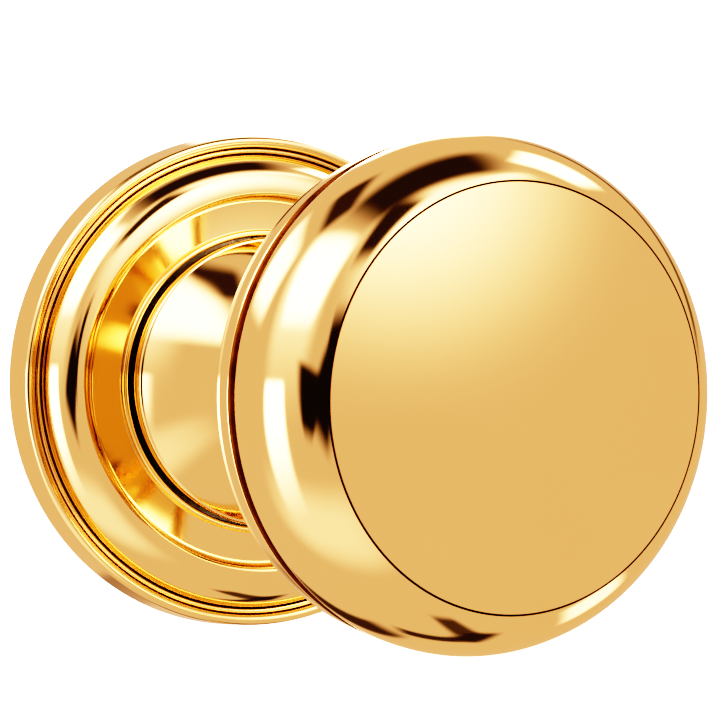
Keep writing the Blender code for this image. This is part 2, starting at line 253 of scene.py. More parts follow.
def combined(bm, tools, operation="DIFFERENCE"):
    """Cuts each tool from bm, or joins it on, and returns the result as one bmesh."""
    target = temporary_object(bm)
    cutters = [temporary_object(tool) for tool in tools]
    for cutter in cutters:
        modifier = target.modifiers.new("cut", "BOOLEAN")
        modifier.operation = operation
        modifier.solver = "EXACT"
        modifier.object = cutter
    result = bmesh.new()
    result.from_mesh(target.evaluated_get(bpy.context.evaluated_depsgraph_get()).data)
    for obj in [target, *cutters]:
        bpy.data.objects.remove(obj)
    return result


def add_piece(name, bm, materials, body, node, at=(0.0, 0.0, 0.0), finish=None):
    """Turns bm into a piece that rides on a CAD body and stands for a CAD node.

    `at` moves it by (x, out, z). `finish`, where given, picks a face's material by its place in the
    list, from the face's radius, its height above the door, how far it faces away from the axis and
    how far it faces the room.
    """
    bmesh.ops.recalc_face_normals(bm, faces=bm.faces)
    bmesh.ops.translate(bm, verts=bm.verts, vec=Vector((at[0] * MM, -at[1] * MM, at[2] * MM)))
    if finish:
        for face in bm.faces:
            centre = face.calc_center_median()
            radius = math.hypot(centre.x, centre.z)
            facing = (face.normal.x * centre.x + face.normal.z * centre.z) / max(radius, 1e-9)
            face.material_index = finish(radius / MM, -centre.y / MM, facing, -face.normal.y)
    obj = object_from(name, bm, materials)
    obj.data.shade_smooth()
    obj.data.set_sharp_from_angle(angle=math.radians(SMOOTH_DEG))
    if body:
        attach(obj, body)
    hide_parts(node)
    return obj


# ---------------------------------------------------------------- materials

class NodeMaterial:
    """A new material's nodes and links, and a short way to add a math node."""

    def __init__(self, name):
        self.material = bpy.data.materials.new(name)
        self.material.use_nodes = True
        self.nodes, self.links = self.material.node_tree.nodes, self.material.node_tree.links

    def math(self, operation, first, second=None, clamp=False):
        """first and second are sockets or plain numbers."""
        node = self.nodes.new("ShaderNodeMath")
        node.operation = operation
        node.use_clamp = clamp
        for socket, value in zip(node.inputs, (first, second)):
            if value is None:
                continue
            if hasattr(value, "links"):
                self.links.new(value, socket)
            else:
                socket.default_value = value
        return node.outputs[0]


class Shader(NodeMaterial):
    """A Principled material with its object coordinates, and short ways to add procedural detail."""

    def __init__(self, name, roughness, metallic):
        super().__init__(name)
        self.main = self.nodes["Principled BSDF"]
        self.main.inputs["Metallic"].default_value = metallic
        self.main.inputs["Roughness"].default_value = roughness
        self.place = self.nodes.new("ShaderNodeTexCoord").outputs["Object"]

    def noise(self, scale, detail=3.0, rough=0.5, stretch=(1.0, 1.0, 1.0)):
        """Noise with `scale` features to the metre."""
        mapping = self.nodes.new("ShaderNodeMapping")
        mapping.inputs["Scale"].default_value = stretch
        self.links.new(self.place, mapping.inputs["Vector"])
        noise = self.nodes.new("ShaderNodeTexNoise")
        noise.inputs["Scale"].default_value = scale
        noise.inputs["Detail"].default_value = detail
        noise.inputs["Roughness"].default_value = rough
        self.links.new(mapping.outputs[0], noise.inputs["Vector"])
        return noise.outputs["Fac"]

    def turning(self, scale):
        """Fine rings round the knob's axis, as a lathe or a polishing wheel leaves them."""
        rings = self.nodes.new("ShaderNodeTexNoise")
        rings.noise_dimensions = "2D"
        split = self.nodes.new("ShaderNodeSeparateXYZ")
        self.links.new(self.place, split.inputs[0])
        square_x = self.math("MULTIPLY", split.outputs["X"], split.outputs["X"])
        square_z = self.math("MULTIPLY", split.outputs["Z"], split.outputs["Z"])
        radius = self.math("SQRT", self.math("ADD", square_x, square_z))
        joined = self.nodes.new("ShaderNodeCombineXYZ")
        self.links.new(radius, joined.inputs["X"])
        self.links.new(split.outputs["Y"], joined.inputs["Y"])
        self.links.new(joined.outputs[0], rings.inputs["Vector"])
        rings.inputs["Scale"].default_value = scale
        rings.inputs["Detail"].default_value = 2.0
        return rings.outputs["Fac"]

    def between(self, factor, low, high, start=0.3, end=0.7):
        """Maps a noise, from `start` to `end`, onto the numbers from low to high."""
        node = self.nodes.new("ShaderNodeMapRange")
        for socket, value in zip(("From Min", "From Max", "To Min", "To Max"), (start, end, low, high)):
            node.inputs[socket].default_value = value
        self.links.new(factor, node.inputs["Value"])
        return node.outputs["Result"]

    def colours(self, factor, first, second, start=0.3, end=0.7):
        mix = self.nodes.new("ShaderNodeMix")
        mix.data_type = "RGBA"
        self.links.new(self.between(factor, 0.0, 1.0, start, end), mix.inputs["Factor"])
        mix.inputs["A"].default_value = (*first, 1.0)
        mix.inputs["B"].default_value = (*second, 1.0)
        self.links.new(mix.outputs["Result"], self.main.inputs["Base Color"])

    def roughness(self, factor, low, high):
        self.links.new(self.between(factor, low, high), self.main.inputs["Roughness"])

    def bump(self, *layers):
        """Each layer is a height socket and the depth in millimetres that it stands for."""
        normal = None
        for height, depth in layers:
            bump = self.nodes.new("ShaderNodeBump")
            bump.inputs["Strength"].default_value = 1.0
            bump.inputs["Distance"].default_value = depth * MM
            self.links.new(height, bump.inputs["Height"])
            if normal:
                self.links.new(normal, bump.inputs["Normal"])
            normal = bump.outputs["Normal"]
        self.links.new(normal, self.main.inputs["Normal"])


def polished_brass():
    """Mirror-polished, lacquered brass: faint polishing rings, slow waviness, slight changes of tone."""
    shader = Shader("polished_brass", roughness=0.06, metallic=1.0)
    shader.main.inputs["Specular Tint"].default_value = (0.98, 0.92, 0.82, 1.0)
    shader.main.inputs["Coat Weight"].default_value = 0.06
    shader.main.inputs["Coat Roughness"].default_value = 0.03
    shader.main.inputs["Coat Tint"].default_value = (1.0, 0.95, 0.84, 1.0)
    clouds = shader.noise(45.0, detail=4.0)
    hairlines = shader.turning(9000.0)
    shader.colours(clouds, (0.905, 0.73, 0.43), (0.915, 0.745, 0.445))
    polish = shader.math("ADD", shader.math("MULTIPLY", clouds, 0.6), shader.math("MULTIPLY", hairlines, 0.4))
    shader.roughness(polish, 0.045, 0.075)
    waves = shader.noise(70.0, detail=1.0)
    shader.bump((waves, 0.012), (hairlines, 0.00003))
    return shader.material


def satin_brass():
    """The unpolished inside and underside: turning rings and a dull, slightly tarnished skin."""
    shader = Shader("satin_brass", roughness=0.4, metallic=1.0)
    shader.main.inputs["Specular Tint"].default_value = (0.9, 0.72, 0.45, 1.0)
    stains = shader.noise(130.0, detail=5.0, rough=0.6)
    rings = shader.turning(2600.0)
    shader.colours(stains, (0.66, 0.52, 0.29), (0.84, 0.69, 0.42))
    shader.roughness(rings, 0.3, 0.48)
    shader.bump((rings, 0.006), (shader.noise(2500.0), 0.003))
    return shader.material


def painted_seam_shade():
    """Painted shade: the near-black line painted into the bottom of a fine groove or joint, where shade
    falls.
    """
    shader = Shader("painted_seam_shade_brass", roughness=0.5, metallic=1.0)
    patches = shader.noise(400.0, detail=4.0)
    shader.colours(patches, (0.07, 0.03, 0.008), (0.2, 0.1, 0.03))
    shader.roughness(patches, 0.4, 0.6)
    shader.bump((shader.noise(3000.0), 0.002))
    return shader.material


def zinc_plate():
    """Bright zinc plate: a bluish grey with a patchy, slightly iridescent skin over rolled steel."""
    shader = Shader("zinc_plated_steel", roughness=0.3, metallic=1.0)
    shader.main.inputs["Specular Tint"].default_value = (0.92, 0.96, 1.0, 1.0)
    patches = shader.noise(160.0, detail=6.0, rough=0.65)
    grain = shader.noise(900.0, detail=3.0, stretch=(1.0, 0.12, 1.0))
    shader.colours(patches, (0.36, 0.48, 0.60), (0.46, 0.58, 0.70), start=0.35, end=0.65)
    shader.roughness(grain, 0.24, 0.42)
    shader.bump((grain, 0.004), (shader.noise(5200.0, detail=2.0), 0.002))
    return shader.material


def spring_steel():
    """Hardened, oil-blackened spring steel with drawing lines."""
    shader = Shader("spring_steel", roughness=0.38, metallic=1.0)
    oil = shader.noise(240.0, detail=5.0, rough=0.6)
    lines = shader.turning(3800.0)
    shader.colours(oil, (0.15, 0.155, 0.17), (0.27, 0.275, 0.29))
    shader.roughness(lines, 0.28, 0.46)
    shader.bump((lines, 0.003), (shader.noise(4200.0), 0.002))
    return shader.material


def nylon():
    """Natural nylon: milky off-white, slightly translucent, with a fine moulded grain."""
    shader = Shader("nylon", roughness=0.5, metallic=0.0)
    shader.main.inputs["Subsurface Weight"].default_value = 0.2
    shader.main.inputs["Subsurface Radius"].default_value = (0.0012, 0.001, 0.0008)
    flow = shader.noise(110.0, detail=3.0)
    grain = shader.noise(3200.0, detail=3.0)
    shader.colours(flow, (0.80, 0.78, 0.71), (0.87, 0.86, 0.80))
    shader.roughness(grain, 0.42, 0.6)
    shader.bump((grain, 0.006))
    return shader.material


# The third brass finish is painted shade: near-black brass for the dark lines in grooves and joints.
BRASS_FINISHES = [polished_brass(), satin_brass(), painted_seam_shade()]
POLISHED, UNPOLISHED, PAINTED_SHADE = range(3)
ZINC = zinc_plate()
SPRING_STEEL = spring_steel()
NYLON = nylon()


def add_brass(name, bm, body, node, finish):
    return add_piece(name, bm, BRASS_FINISHES, body, node, finish=finish)


def add_steel(name, bm, body, node, at=(0.0, 0.0, 0.0)):
    return add_piece(name, bm, [ZINC], body, node, at)


def add_spring_steel(name, bm, body, node, at=(0.0, 0.0, 0.0)):
    return add_piece(name, bm, [SPRING_STEEL], body, node, at)


# ---------------------------------------------------------------- brass shells

def make_rosette_cover():
    """Wall, lip, small bead, broad swelling, cove and inner bead, from the outside in."""
    lip, lip_out = 0.7, 4.6
    seam_floor, seam_top = 4.0, 4.36
    seams = ((30.58, 30.72), (31.1, 31.42))
    ledge_out = 1.9
    lip_r = ROSETTE_R - 2 * lip
    swell_centre, swell_r = (25.2, 2.0), 5.78
    cove_r, cove_out = 24.75, 4.75
    bead_centre, bead_r = (19.9, 5.2), 0.45
    hole_r = bead_centre[0] - bead_r
    outline = [(ROSETTE_R, 0.0)]
    outline += arc((lip_r, lip_out), (lip, lip), 3, 180, 20)
    fine_bead = [(31.3, 4.2, 0.08), (31.15, 4.4, 0.12), (30.95, 4.48, 0.2), (30.7, 4.36, 0.1)]
    fine_bead += [(30.66, 4.12, 0.05), (30.6, 4.12)]
    outline += open_rounded([(lip_r - lip, lip_out), *fine_bead])[1:-1]
    outline += arc(swell_centre, (swell_r, swell_r), 21, 87, 44)
    cove = [(cove_r + 0.35, 7.78, 0.2), (cove_r, 7.6, 0.35), (cove_r, cove_out, 0.8)]
    cove += [(bead_centre[0] + bead_r, cove_out, 0.12), (bead_centre[0] + bead_r, bead_centre[1])]
    outline += open_rounded([outline[-1], *cove], steps=8)[1:]
    outline += arc(bead_centre, (bead_r, bead_r), 0, 180, 24)
    back = [(hole_r, bead_centre[1]), (hole_r, 4.0, 0.15), (24.2, 3.9, 0.5), (25.6, 4.4, 0.5)]
    back += [(26.0, 6.6, 0.4), (26.7, 6.6, 0.4), (27.6, 5.8, 0.5), (28.2, 4.8, 0.5), (28.38, 3.6, 0.5)]
    back += [(28.4, ledge_out, 0.2), (32.3, ledge_out, 0.3), (32.4, 0.0)]
    outline += open_rounded(back)[1:]

    def finish(radius, out, facing, front):
        # The floors of the two fine grooves by the lip get painted shade, as near-black brass.
        if seam_floor < out < seam_top and any(low < radius < high for low, high in seams):
            return PAINTED_SHADE
        inside_wall = facing < -0.5 and radius > lip_r - 0.3 and out < ledge_out + 0.05
        return UNPOLISHED if front < -0.3 or inside_wall else POLISHED

    add_brass("rosette_cover_brass", turned_mesh(outline), "root", "rosette_cover", finish)


def make_front_shell():
    """The round flank and the slightly domed face, which meet in a crisp edge."""
    flank_centre = (16.4, 60.1)
    flank_r = HEAD_R - flank_centre[0]
    face_edge_out = 69.0
    wall, seam, seam_deep = 1.4, 0.2, 0.16
    edge_deg = math.degrees(math.asin((face_edge_out - flank_centre[1]) / flank_r))
    edge_r = flank_centre[0] + flank_r * math.cos(math.radians(edge_deg))
    rise = FACE_TOP - face_edge_out
    dome_r = (edge_r**2 + rise**2) / (2 * rise)
    dome_edge_deg = math.degrees(math.acos(edge_r / dome_r))
    centre = (0.0, FACE_TOP - dome_r)
    corners = [(25.6, SHELL_BACK), (26.1, SHELL_BACK + 0.35, 0.2), (26.35, SHELL_BACK + 1.0, 0.2)]
    outline = open_rounded([*corners, (HEAD_R, flank_centre[1])])[:-1]
    outline += arc(flank_centre, (flank_r, flank_r), 0, edge_deg, 60)
    outline += [(edge_r - seam / 2, face_edge_out - seam_deep)]
    outline += arc(centre, (dome_r, dome_r), math.degrees(math.acos((edge_r - seam) / dome_r)), 90, 48)
    inner = dome_r - wall
    outline += arc(centre, (inner, inner), 90, dome_edge_deg + 0.6, 12)
    outline += arc(flank_centre, (flank_r - wall, flank_r - wall), edge_deg - 4, 0, 16)
    outline += [(25.05, SHELL_BACK)]

    def finish(radius, out, facing, front):
        # The groove round the face's edge and the shell's back rim get painted shade, as near-black brass.
        in_seam = abs(radius - edge_r + seam / 2) < seam / 2 and 0.0 < face_edge_out - out < 0.3
        if in_seam or out < SHELL_BACK + 0.1:
            return PAINTED_SHADE
        inside = out < FACE_TOP - 0.5 and (front < -0.25 or facing < -0.5) and radius < HEAD_R - 0.9
        return UNPOLISHED if inside else POLISHED

    add_brass("knob_front_shell_brass", turned_mesh(outline), "knob", "knob_front_shell", finish)


def make_back_plate():
    """The head's back, with two fine beads, a groove and the spigot that the front shell is pressed on."""
    hole_r = NECK_THREAD_R + GAP
    spigot_r, spigot_front = 24.75, 60.4
    groove_r, rim_front = 24.95, 58.15
    beads = [(hole_r, 54.6), (24.2, 54.6, 0.1), (24.7, 54.9, 0.1), (25.1, 54.5, 0.1), (25.7, HEAD_BACK, 0.25)]
    beads += [(26.2, 54.55, 0.25), (26.35, 55.0, 0.2), (26.1, 55.4, 0.06), (26.1, 55.55, 0.06)]
    rim = [(HEAD_R, 55.85, 0.2), (HEAD_R, 57.9, 0.2), (26.15, rim_front, 0.1), (spigot_r, rim_front)]
    spigot = [(spigot_r, spigot_front, 0.2), (23.6, spigot_front, 0.2), (23.6, 56.4, 0.3), (23.2, 56.2)]
    spigot += [(hole_r, 56.2)]

    def finish(radius, out, facing, front):
        # The step where the front shell meets the rim and the groove by the beads get painted shade, as
        # near-black brass.
        rim_seam = radius < HEAD_R - 0.1 and rim_front - 0.15 < out < rim_front + 1.05
        bead_seam = abs(radius - groove_r) < 0.25 and 54.6 < out < 54.85
        if rim_seam or bead_seam:
            return PAINTED_SHADE
        return UNPOLISHED if radius < spigot_r + 0.1 and out > 55.0 else POLISHED

    plate = turned_mesh(rounded(beads + rim + spigot))
    add_brass("knob_back_plate_brass", plate, "knob", "knob_back_plate", finish)


def grub_hole():
    """A tool for the cross hole that goes down from the spindle's socket through the neck."""
    return moved(pointing_down(rod_mesh(GRUB_R + GAP, 3.0, 24.0, steps=48)), out=GRUB_OUT)


def make_neck():
    """The trumpet from its stepped base over the waist to the flare under the head."""
    base_back, base_front, foot_out = 5.2, 8.65, 8.75
    foot_r = NECK_BASE_R - 0.45
    trumpet_power, flare_power = 2.4, 3
    trumpet_rows, flare_rows = 60, 40
    corners = [(BORE_R, NECK_BACK), (TAIL_R, NECK_BACK, 0.2), (TAIL_R, base_back, 0.1)]
    corners += [(18.9, base_back, 0.15), (NECK_BASE_R, base_back + 0.3, 0.2)]
    corners += [(NECK_BASE_R, base_front - 0.3, 0.2), (18.95, base_front, 0.15)]
    outline = open_rounded([*corners, (foot_r, foot_out)])[:-1]
    for i in range(trumpet_rows + 1):
        s = i / trumpet_rows
        radius = WAIST_R + (foot_r - WAIST_R) * (1 - s) ** trumpet_power
        outline.append((radius, foot_out + (WAIST_OUT - foot_out) * s))
    flare_r, flare_out = 14.6, HEAD_BACK - 0.6
    for i in range(1, flare_rows + 1):
        s = i / flare_rows
        radius = WAIST_R + (flare_r - WAIST_R) * s**flare_power
        outline.append((radius, WAIST_OUT + (flare_out - WAIST_OUT) * s))
    outline += [(flare_r, HEAD_BACK), (NECK_THREAD_R, HEAD_BACK)]
    thread_back, thread_front = HEAD_BACK + 0.3, NECK_FRONT - 0.2
    rows = 6 * int((thread_front - thread_back) / NECK_PITCH)
    outline += [(NECK_THREAD_R, out) for out in evenly(thread_back, thread_front, rows)]
    outline += [(NECK_THREAD_R - 0.3, NECK_FRONT), (BORE_R, NECK_FRONT)]
    neck = threaded(turned_mesh(outline), NECK_THREAD_R, 0.35, NECK_PITCH, thread_back, thread_front)
    neck = combined(neck, [grub_hole()])

    def finish(radius, out, facing, front):
        outer_wall = WAIST_OUT - 30 < out < HEAD_BACK and facing > 0
        inside = radius < NECK_THREAD_R + 0.1 and not outer_wall
        return UNPOLISHED if inside or front < -0.9 else POLISHED

    add_brass("neck_brass", neck, "knob", "neck", finish)


# ---------------------------------------------------------------- what turns inside

def socket_tool(back, front):
    return box_mesh(SOCKET_HALF, SOCKET_HALF, back, front)


def make_spindle_hub():
    """A steel sleeve with a square socket and the grub screw's cross hole."""
    outline = open_rounded([(0, HUB_BACK), (HUB_R, HUB_BACK, 0.4), (HUB_R, HUB_FRONT, 0.4), (0, HUB_FRONT)])
    hub = turned_mesh(outline, FINE_ROUND, closed=False)
    hub = combined(hub, [socket_tool(HUB_BACK - 1, HUB_FRONT + 1), grub_hole()])
    add_steel("spindle_hub_steel", hub, "knob", "spindle_hub")


def make_grub_screw():
    """A hexagon-socket set screw in the neck's underside, which clamps the knob to the spindle."""
    thread_low, thread_high = 0.6, GRUB_LENGTH - 0.4
    outline = [(0, 0.0), (GRUB_R - 0.6, 0.0)]
    outline += [(GRUB_R, out) for out in evenly(thread_low, thread_high, 40)]
    outline += [(GRUB_R - 0.3, GRUB_LENGTH), (0, GRUB_LENGTH)]
    screw = turned_mesh(outline, THREAD_ROUND, closed=False)
    screw = threaded(screw, GRUB_R, 0.28, GRUB_PITCH, thread_low, thread_high)
    key_across, key_floor = 2.5, 5.2
    screw = combined(screw, [prism_mesh(hexagon(key_across), key_floor, GRUB_LENGTH + 1)])
    place = (0.0, GRUB_OUT, -4.4)
    add_spring_steel("grub_screw_steel", pointing_down(screw), "knob", "grub_screw", place)


def make_spindle():
    """The square bar that works the latch, with break-off notches near its free end."""
    chamfer = 0.5
    notch_deep, notch_half, notch_start, notch_step, notches = 0.35, 0.35, 8.0, 6.0, 4
    stations = [(SPINDLE_BACK, chamfer), (SPINDLE_BACK + chamfer, 0.0)]
    for i in range(notches):
        middle = SPINDLE_BACK + notch_start + notch_step * i
        stations += [(middle - notch_half, 0.0), (middle, notch_deep), (middle + notch_half, 0.0)]
    stations += [(SPINDLE_FRONT - chamfer, 0.0), (SPINDLE_FRONT, chamfer)]
    bm = bmesh.new()
    rings = []
    for out, inset in stations:
        flat, side = SPINDLE_HALF - chamfer - inset / 2, SPINDLE_HALF - inset
        half = [(side, -flat), (side, flat), (flat, side), (-flat, side)]
        corners = half + [(-x, -z) for x, z in half]
        rings.append([bm.verts.new((x * MM, -out * MM, z * MM)) for x, z in corners])
    for back, front in zip(rings, rings[1:]):
        for i in range(8):
            j = (i + 1) % 8
            bm.faces.new((back[i], back[j], front[j], front[i]))
    bm.faces.new(rings[0])
    bm.faces.new(rings[-1])
    add_steel("spindle_steel", bm, "knob", "spindle")


def make_lock_washer_and_nut():
    """What clamps the neck to the head's back plate."""
    hole_r, washer_r, washer_back, washer_front = 9.8, 15.5, 56.5, 57.4
    ring = [(hole_r, washer_back, 0.1), (washer_r, washer_back, 0.15)]
    ring += [(washer_r, washer_front, 0.15), (hole_r, washer_front, 0.1)]
    add_steel("lock_washer_steel", turned_mesh(rounded(ring)), "knob", "lock_washer")
    width = 24.0
    nut = prism_mesh(hexagon(width), NUT_BACK, NUT_FRONT)
    corner_r, end_r = width / math.sqrt(3), width / 2 + 0.2
    drum = [(0, NUT_BACK), (end_r, NUT_BACK), (corner_r, NUT_BACK + 0.6), (corner_r, NUT_FRONT - 0.6)]
    crown = turned_mesh([*drum, (end_r, NUT_FRONT), (0, NUT_FRONT)], FINE_ROUND, closed=False)
    nut = combined(nut, [crown], "INTERSECT")
    nut = combined(nut, [rod_mesh(NECK_THREAD_R + GAP, NUT_BACK - 1, NUT_FRONT + 1)])
    add_steel("lock_nut_steel", nut, "knob", "lock_nut")


def make_return_cam():
    """The disc that the spring turns back; its notch runs against the stop pin."""
    boss_r, boss_back, disc_back = 8.2, CAM_BACK, -3.4
    outline = open_rounded([
        (0, CAM_FRONT), (CAM_R, CAM_FRONT, 0.2), (CAM_R, disc_back, 0.2), (boss_r, disc_back, 0.3),
        (boss_r, boss_back, 0.4), (0, boss_back)])
    cam = turned_mesh(outline, closed=False)
    half_deg = TURN_LIMIT_DEG + math.degrees(math.asin((STOP_PIN_R + 0.2) / STOP_PIN_Z))
    floor_r, past_rim_r = 10.5, 16.0
    inner = arc((0, 0), (floor_r, floor_r), 90 + half_deg, 90 - half_deg, 28)
    outer = arc((0, 0), (past_rim_r, past_rim_r), 90 - half_deg, 90 + half_deg, 28)
    notch = prism_mesh(outer + inner, disc_back - 1, CAM_FRONT + 1)
    spring_hole = moved(rod_mesh(WIRE_R + GAP, disc_back - 1, CAM_FRONT + 1, HOLE_ROUND), z=-SPRING_R)
    cam = combined(cam, [socket_tool(boss_back - 1, CAM_FRONT + 1), spring_hole, notch])
    add_steel("return_cam_steel", cam, "knob", "return_cam")


# ---------------------------------------------------------------- what stays on the door

def make_mounting_plate():
    """A stamped steel disc with countersunk bolt holes, rivet holes and a groove for the snap ring."""
    hole_r, groove_r, groove_back, groove_front = 11.1, PLATE_R - 0.9, 1.8, 2.75
    seat_r = 4.5
    edge = [(hole_r, 0.0, 0.15), (PLATE_R, 0.0, 0.3), (PLATE_R, groove_back, 0.05), (groove_r, groove_back)]
    edge += [(groove_r, groove_front), (PLATE_R, groove_front, 0.05), (PLATE_R, 2.95, 0.1)]
    edge += [(PLATE_R - 0.25, PLATE_FRONT, 0.1), (hole_r, PLATE_FRONT, 0.4)]
    tools = [moved(rod_mesh(STOP_PIN_R + GAP, -1, 5, HOLE_ROUND), z=STOP_PIN_Z)]
    seat = [(0, -1), (BOLT_R + GAP, -1), (BOLT_R + GAP, 1.1), (seat_r, PLATE_FRONT + 0.1)]
    seat += [(seat_r, 4.0), (0, 4.0)]
    for side in (-1, 1):
        tools.append(moved(turned_mesh(seat, FINE_ROUND, closed=False), x=side * BOLT_X))
        tools.append(moved(rod_mesh(RIVET_R + GAP, -1, 5, HOLE_ROUND), z=side * RIVET_Z))
    add_steel("mounting_plate_steel", combined(turned_mesh(rounded(edge)), tools), "root", "mounting_plate")


def make_bearing_bush():
    """The flanged nylon bush in the plate, in which the neck's tail turns."""
    bore, barrel_r, flange_r = TAIL_R + 0.18, 10.75, 13.2
    back, flange_back, front = 0.15, 3.45, 4.15
    section = [(bore, back, 0.1), (barrel_r, back, 0.25), (barrel_r, flange_back, 0.1)]
    section += [(flange_r, flange_back, 0.15), (flange_r, front, 0.15), (bore, front, 0.15)]
    add_piece("bearing_bush_nylon", turned_mesh(rounded(section)), [NYLON], "root", "bearing_bush")


def make_wave_washer():
    """A thin spring washer with three waves, which takes up the knob's end play."""
    hole_r, washer_r, back, front, wave, waves = 9.4, 13.0, 4.55, 4.85, 0.1, 3
    section = [(hole_r, back, 0.1), (washer_r, back, 0.1), (washer_r, front, 0.1), (hole_r, front, 0.1)]
    bm = turned_mesh(rounded(section, steps=2))
    for vert in bm.verts:
        vert.co.y += wave * MM * math.sin(waves * math.atan2(vert.co.z, vert.co.x))
    add_spring_steel("wave_washer_steel", bm, "root", "wave_washer")


def make_spring_housing():
    """A drawn steel cup with two round-ended ears, riveted to the back of the plate."""
    wall, mouth_r, ear_half, ear_reach = 1.2, 6.5, 4.5, 24.0
    inner_r, floor_out = HOUSING_R - wall, HOUSING_BACK + wall
    outside = [(mouth_r, HOUSING_BACK, 0.1), (HOUSING_R, HOUSING_BACK, 1.1), (HOUSING_R, -GAP, 0.1)]
    inside = [(inner_r, -GAP, 0.1), (inner_r, floor_out, 0.5), (mouth_r, floor_out, 0.1)]
    housing = turned_mesh(rounded(outside + inside))
    tip = [(ear_half * math.cos(a), ear_half * math.sin(a)) for a in (math.pi * i / 20 for i in range(21))]
    ear = [(x, z + ear_reach - ear_half) for x, z in tip]
    ear += [(-ear_half, HOUSING_R - 0.6), (ear_half, HOUSING_R - 0.6)]
    ears, holes = [], []
    for side in (-1, 1):
        ears.append(prism_mesh([(x, side * z) for x, z in ear], -1.6, -GAP, bevel=0.15))
        holes.append(moved(rod_mesh(RIVET_R + GAP, -3, 1, HOLE_ROUND), z=side * RIVET_Z))
    holes.append(moved(rod_mesh(WIRE_R + GAP, -12, -8, HOLE_ROUND), z=SPRING_R))
    housing = combined(combined(housing, ears, "UNION"), holes)
    add_steel("spring_housing_steel", housing, "root", "spring_housing")


def make_rivet(name, z):
    """A domed rivet whose head holds an ear of the spring housing against the plate."""
    dome = [(0, -2.9), (1.5, -2.85, 0.6), (2.45, -2.3, 0.5), (2.7, -1.9, 0.1)]
    shank = [(RIVET_R, -1.9, 0.05), (RIVET_R, 3.0, 0.3), (0, 3.0)]
    rivet = turned_mesh(open_rounded(dome + shank), PIN_ROUND, closed=False)
    add_steel(f"{name}_steel", rivet, "root", name, (0.0, 0.0, z))


def make_stop_pin():
    pin = rod_mesh(STOP_PIN_R, STOP_PIN_BACK, STOP_PIN_FRONT, PIN_ROUND, chamfer=0.25)
    add_steel("stop_pin_steel", pin, "root", "stop_pin", (0.0, 0.0, STOP_PIN_Z))


def make_cover_snap_ring():
    """A split ring in the plate's edge groove, which grips the inside of the cover."""
    low, high, back, front, edge = PLATE_R - 0.7, PLATE_R + 0.2, 1.95, 2.6, 0.15
    section = [(low, back, edge), (high, back, edge), (high, front, edge), (low, front, edge)]
    ring = turned_mesh(rounded(section, steps=3), steps=150, sweep_deg=345.0)
    add_spring_steel("cover_snap_ring_steel", ring, "root", "cover_snap_ring")


def make_through_bolt(name, side):
    """A countersunk machine screw with a rolled thread and a cross recess."""
    thread_back, thread_front, rows_per_turn = BOLT_BACK + 0.5, -1.0, 8
    rows = int(rows_per_turn * (thread_front - thread_back) / BOLT_PITCH)
    outline = [(0, BOLT_BACK), (BOLT_R - 0.4, BOLT_BACK)]
    outline += [(BOLT_R, out) for out in evenly(thread_back, thread_front, rows)]
    head = [(BOLT_R, thread_front), (BOLT_R, 1.0, 0.3), (BOLT_HEAD_R, 2.95, 0.1)]
    head += [(BOLT_HEAD_R, BOLT_FRONT, 0.05), (0, BOLT_FRONT)]
    outline += open_rounded(head)[1:]
    bolt = turned_mesh(outline, THREAD_ROUND, closed=False)
    bolt = threaded(bolt, BOLT_R, 0.42, BOLT_PITCH, thread_back, thread_front)
    slot_long, slot_wide, slot_floor = 1.8, 0.4, 1.7
    slots = [box_mesh(slot_long, slot_wide, slot_floor, 4.0), box_mesh(slot_wide, slot_long, slot_floor, 4.0)]
    add_steel(f"{name}_steel", combined(bolt, slots), "root", name, (side * BOLT_X, 0.0, 0.0))


def spring_route():
    """Rear leg in the housing, two and a half turns, and front leg in the cam, as (x, out, z) points."""
    coil_back, coil_front, bend, per_turn = -8.1, -4.9, 0.7, 48
    points = [(0.0, HOUSING_BACK + 0.2, SPRING_R), (0.0, coil_back - bend - 0.1, SPRING_R)]
    points.append((0.0, coil_back - 0.25, SPRING_R))
    count = int(SPRING_TURNS * per_turn)
    for i in range(1, count):
        angle = math.radians(90) - 2 * math.pi * SPRING_TURNS * i / count
        out = coil_back + (coil_front - coil_back) * i / count
        points.append((SPRING_R * math.cos(angle), out, SPRING_R * math.sin(angle)))
    points.append((0.0, coil_front + 0.25, -SPRING_R))
    points += [(0.0, coil_front + bend + 0.1, -SPRING_R), (0.0, CAM_FRONT - 0.4, -SPRING_R)]
    return [Vector((x * MM, -out * MM, z * MM)) for x, out, z in points]


def tube_mesh(route, radius, sides=16):
    """A round wire along a route, with flat ends; each ring is square to the wire."""
    bm = bmesh.new()
    rings = []
    side = Vector((1, 0, 0))
    for i, point in enumerate(route):
        along = (route[min(i + 1, len(route) - 1)] - route[max(i - 1, 0)]).normalized()
        side = (side - along * side.dot(along)).normalized()
        up = along.cross(side)
        turns = [2 * math.pi * k / sides for k in range(sides)]
        rings.append([bm.verts.new(point + (side * math.cos(t) + up * math.sin(t)) * radius) for t in turns])
    for first, second in zip(rings, rings[1:]):
        for k in range(sides):
            n = (k + 1) % sides
            bm.faces.new((first[k], first[n], second[n], second[k]))
    bm.faces.new(rings[0])
    bm.faces.new(rings[-1])
    return bm


def make_return_spring():
    """The torsion spring: its rear leg sits in the housing, and its front leg in the cam."""
    wire = tube_mesh(spring_route(), WIRE_R * MM)
    spring = add_piece("return_spring_wire", wire, [SPRING_STEEL], None, "return_spring")
    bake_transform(spring)


make_rosette_cover()
make_front_shell()
make_back_plate()
make_neck()
make_spindle_hub()
make_grub_screw()
make_spindle()
make_lock_washer_and_nut()
make_return_cam()
make_mounting_plate()
make_bearing_bush()
make_wave_washer()
make_spring_housing()
make_rivet("rivet_top", RIVET_Z)
make_rivet("rivet_bottom", -RIVET_Z)
make_stop_pin()
make_cover_snap_ring()
make_through_bolt("through_bolt_left", -1)
make_through_bolt("through_bolt_right", 1)
make_return_spring()


# ---------------------------------------------------------------- camera
# Fitted to the ring edges in the photograph, in metres.

